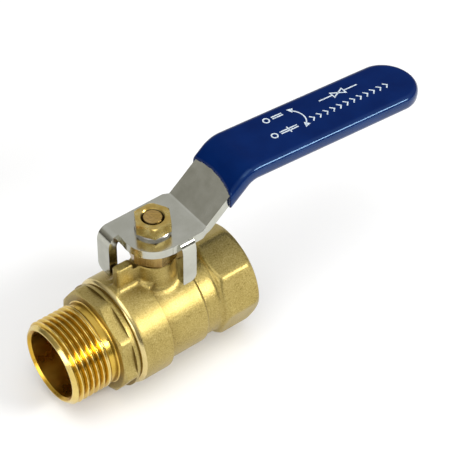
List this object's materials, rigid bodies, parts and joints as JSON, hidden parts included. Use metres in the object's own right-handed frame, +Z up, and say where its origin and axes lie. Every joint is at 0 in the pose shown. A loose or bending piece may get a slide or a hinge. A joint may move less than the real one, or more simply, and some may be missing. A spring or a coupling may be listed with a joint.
{
  "type": "lever ball valve",
  "caption": "Brass ball valve with a male and a female pipe end, turned a quarter by a bent steel lever with a dipped grip.",
  "frame": {"origin": "centre of the ball, where the flow axis and the stem axis cross", "axes": "+X along the flow axis from the male end to the female end, and the way the open lever points; +Z up the stem axis to the lever; +Y to the left looking along +X"},
  "size_m": [0.1347, 0.0338, 0.0637],
  "materials": {
    "satin_brass": "sand-blasted forged brass, satin",
    "bright_brass": "turned brass, semi-bright",
    "ptfe": "matte white PTFE",
    "chromed_ball": "polished hard chrome",
    "o_ring_rubber": "black nitrile",
    "plated_steel": "bright plated sheet steel",
    "blue_vinyl": "navy dipped vinyl, semi-gloss",
    "washer_steel": "plated spring steel",
    "yellow_zinc_nut": "yellow passivated zinc"
  },
  "bodies": {
    "valve_body": {"body": "satin_brass", "tail_piece": "satin_brass", "seat_ring_tail_side": "ptfe", "seat_ring_body_side": "ptfe", "thrust_washer": "ptfe", "packing_ring": "ptfe", "gland_nut": "bright_brass"},
    "lever_and_ball": {"lever": "plated_steel", "lever_sleeve": "blue_vinyl", "lock_washer": "washer_steel", "lever_nut": "yellow_zinc_nut", "stem": "bright_brass", "stem_o_ring_lower": "o_ring_rubber", "stem_o_ring_upper": "o_ring_rubber", "ball": "chromed_ball"}
  },
  "joints": [
    {"name": "lever_turn", "type": "hinge", "parent": "valve_body", "child": "lever_and_ball", "pos_m": [0, 0, 0], "axis": [0, 0, 1], "range_deg": [-90, 0]}
  ]
}
